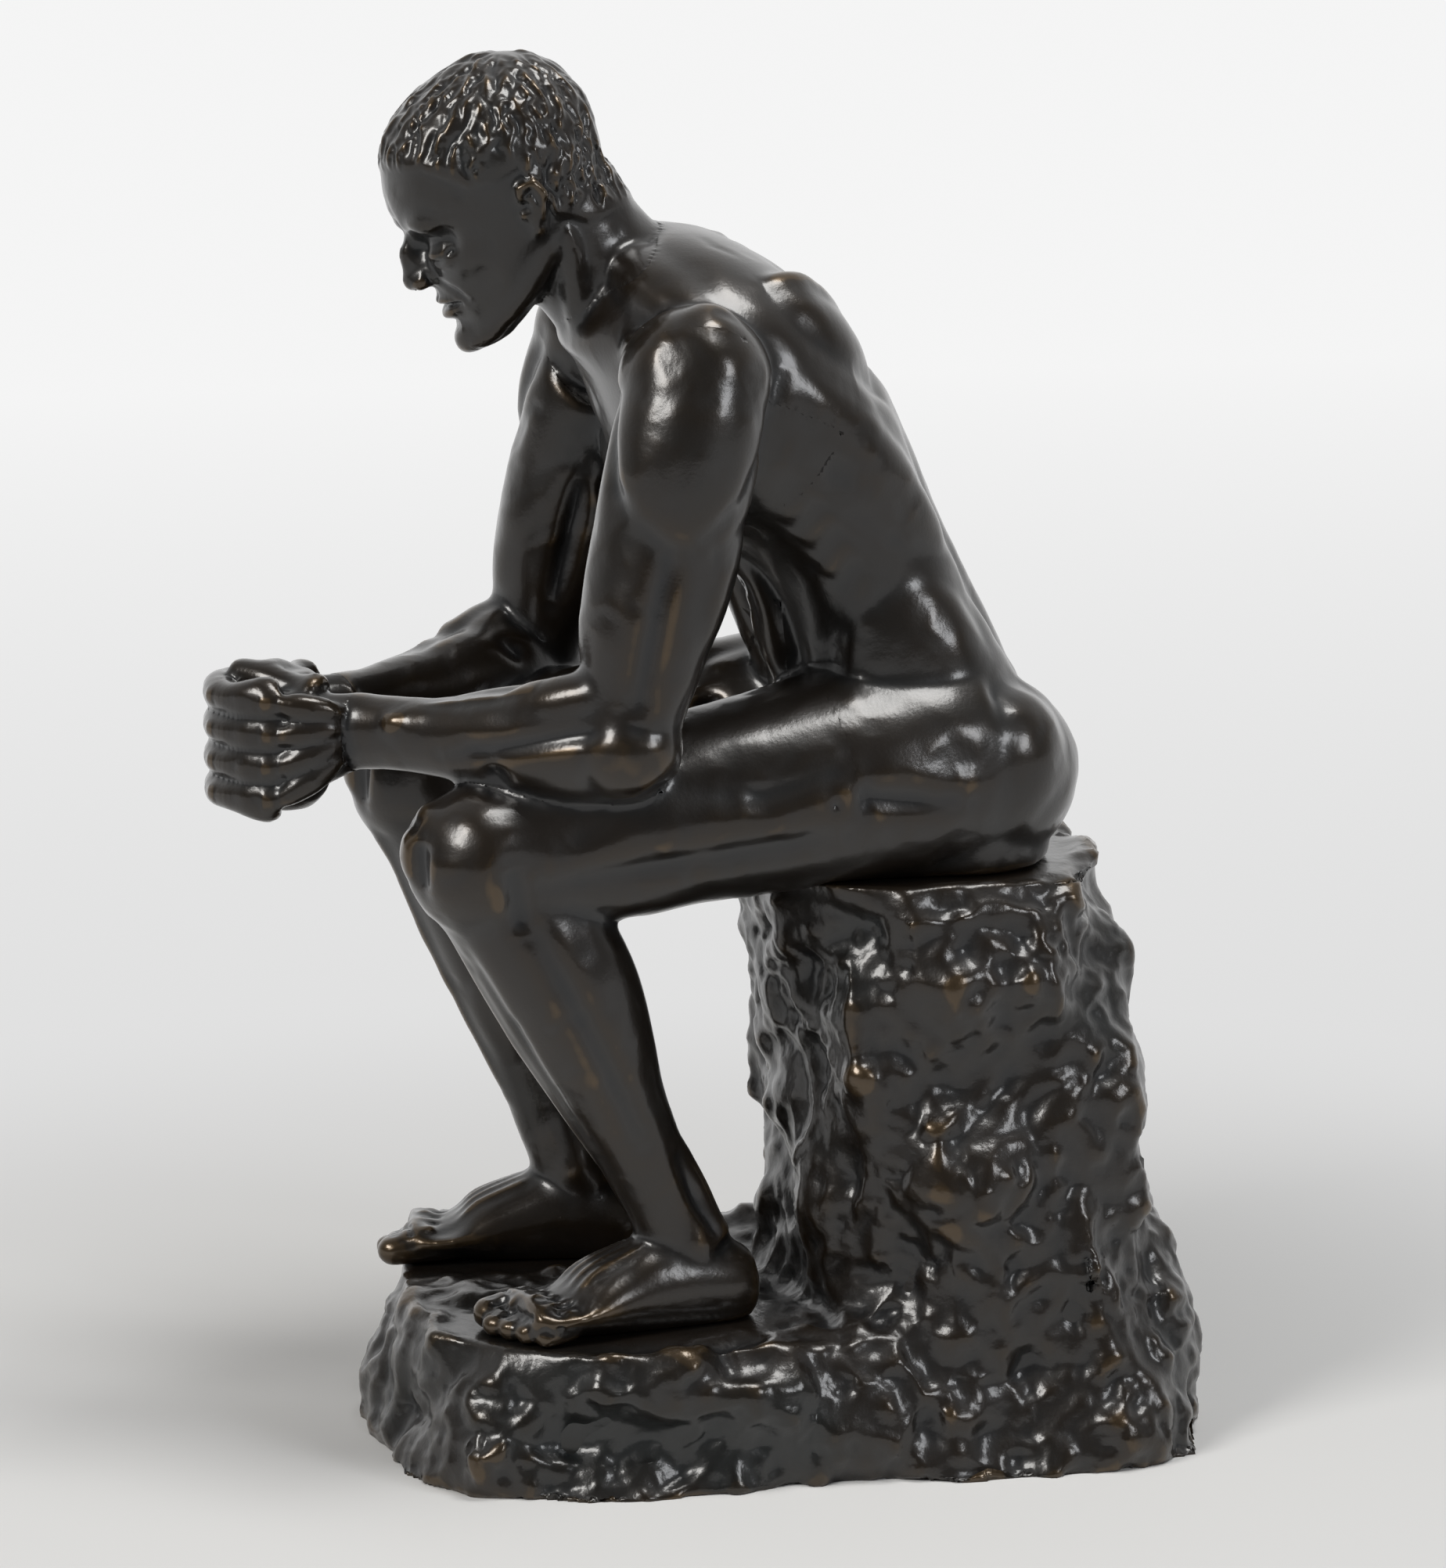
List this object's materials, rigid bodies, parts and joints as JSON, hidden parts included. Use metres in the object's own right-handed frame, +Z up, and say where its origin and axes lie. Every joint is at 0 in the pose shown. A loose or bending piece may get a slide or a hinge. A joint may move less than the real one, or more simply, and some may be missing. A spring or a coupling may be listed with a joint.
{
  "type": "seated figure statuette",
  "caption": "Dark patinated bronze statuette of a seated, pensive nude figure with bowed head and joined hands on a rough hollow rock; stands free on a table or plinth as a decoration.",
  "frame": {"origin": "on the floor under the middle of the whole object's box", "axes": "+Z up, the figure faces -Y, its left side is +X"},
  "size_m": [0.1612, 0.2738, 0.3751],
  "materials": {
    "bronze": "dark brown patina, waxed, rubbed golden on the high points",
    "rock_bronze": "dark brown patina on a rough modelled surface, rubbed on the edges",
    "pin_bronze": "bare drawn bronze rod",
    "steel": "plain zinc-grey steel"
  },
  "bodies": {
    "root": {"torso": "bronze", "head": "bronze", "left_arm": "bronze", "right_arm": "bronze", "joined_hands": "bronze", "left_leg": "bronze", "right_leg": "bronze", "rock_base": "rock_bronze", "neck_pins": "pin_bronze", "shoulder_pins": "pin_bronze", "hip_pins": "pin_bronze", "wrist_pins": "pin_bronze", "seat_studs": "steel", "seat_washers": "steel", "seat_nuts": "steel", "foot_studs": "steel", "foot_washers": "steel", "foot_nuts": "steel", "core_plugs": "rock_bronze"}
  },
  "joints": []
}
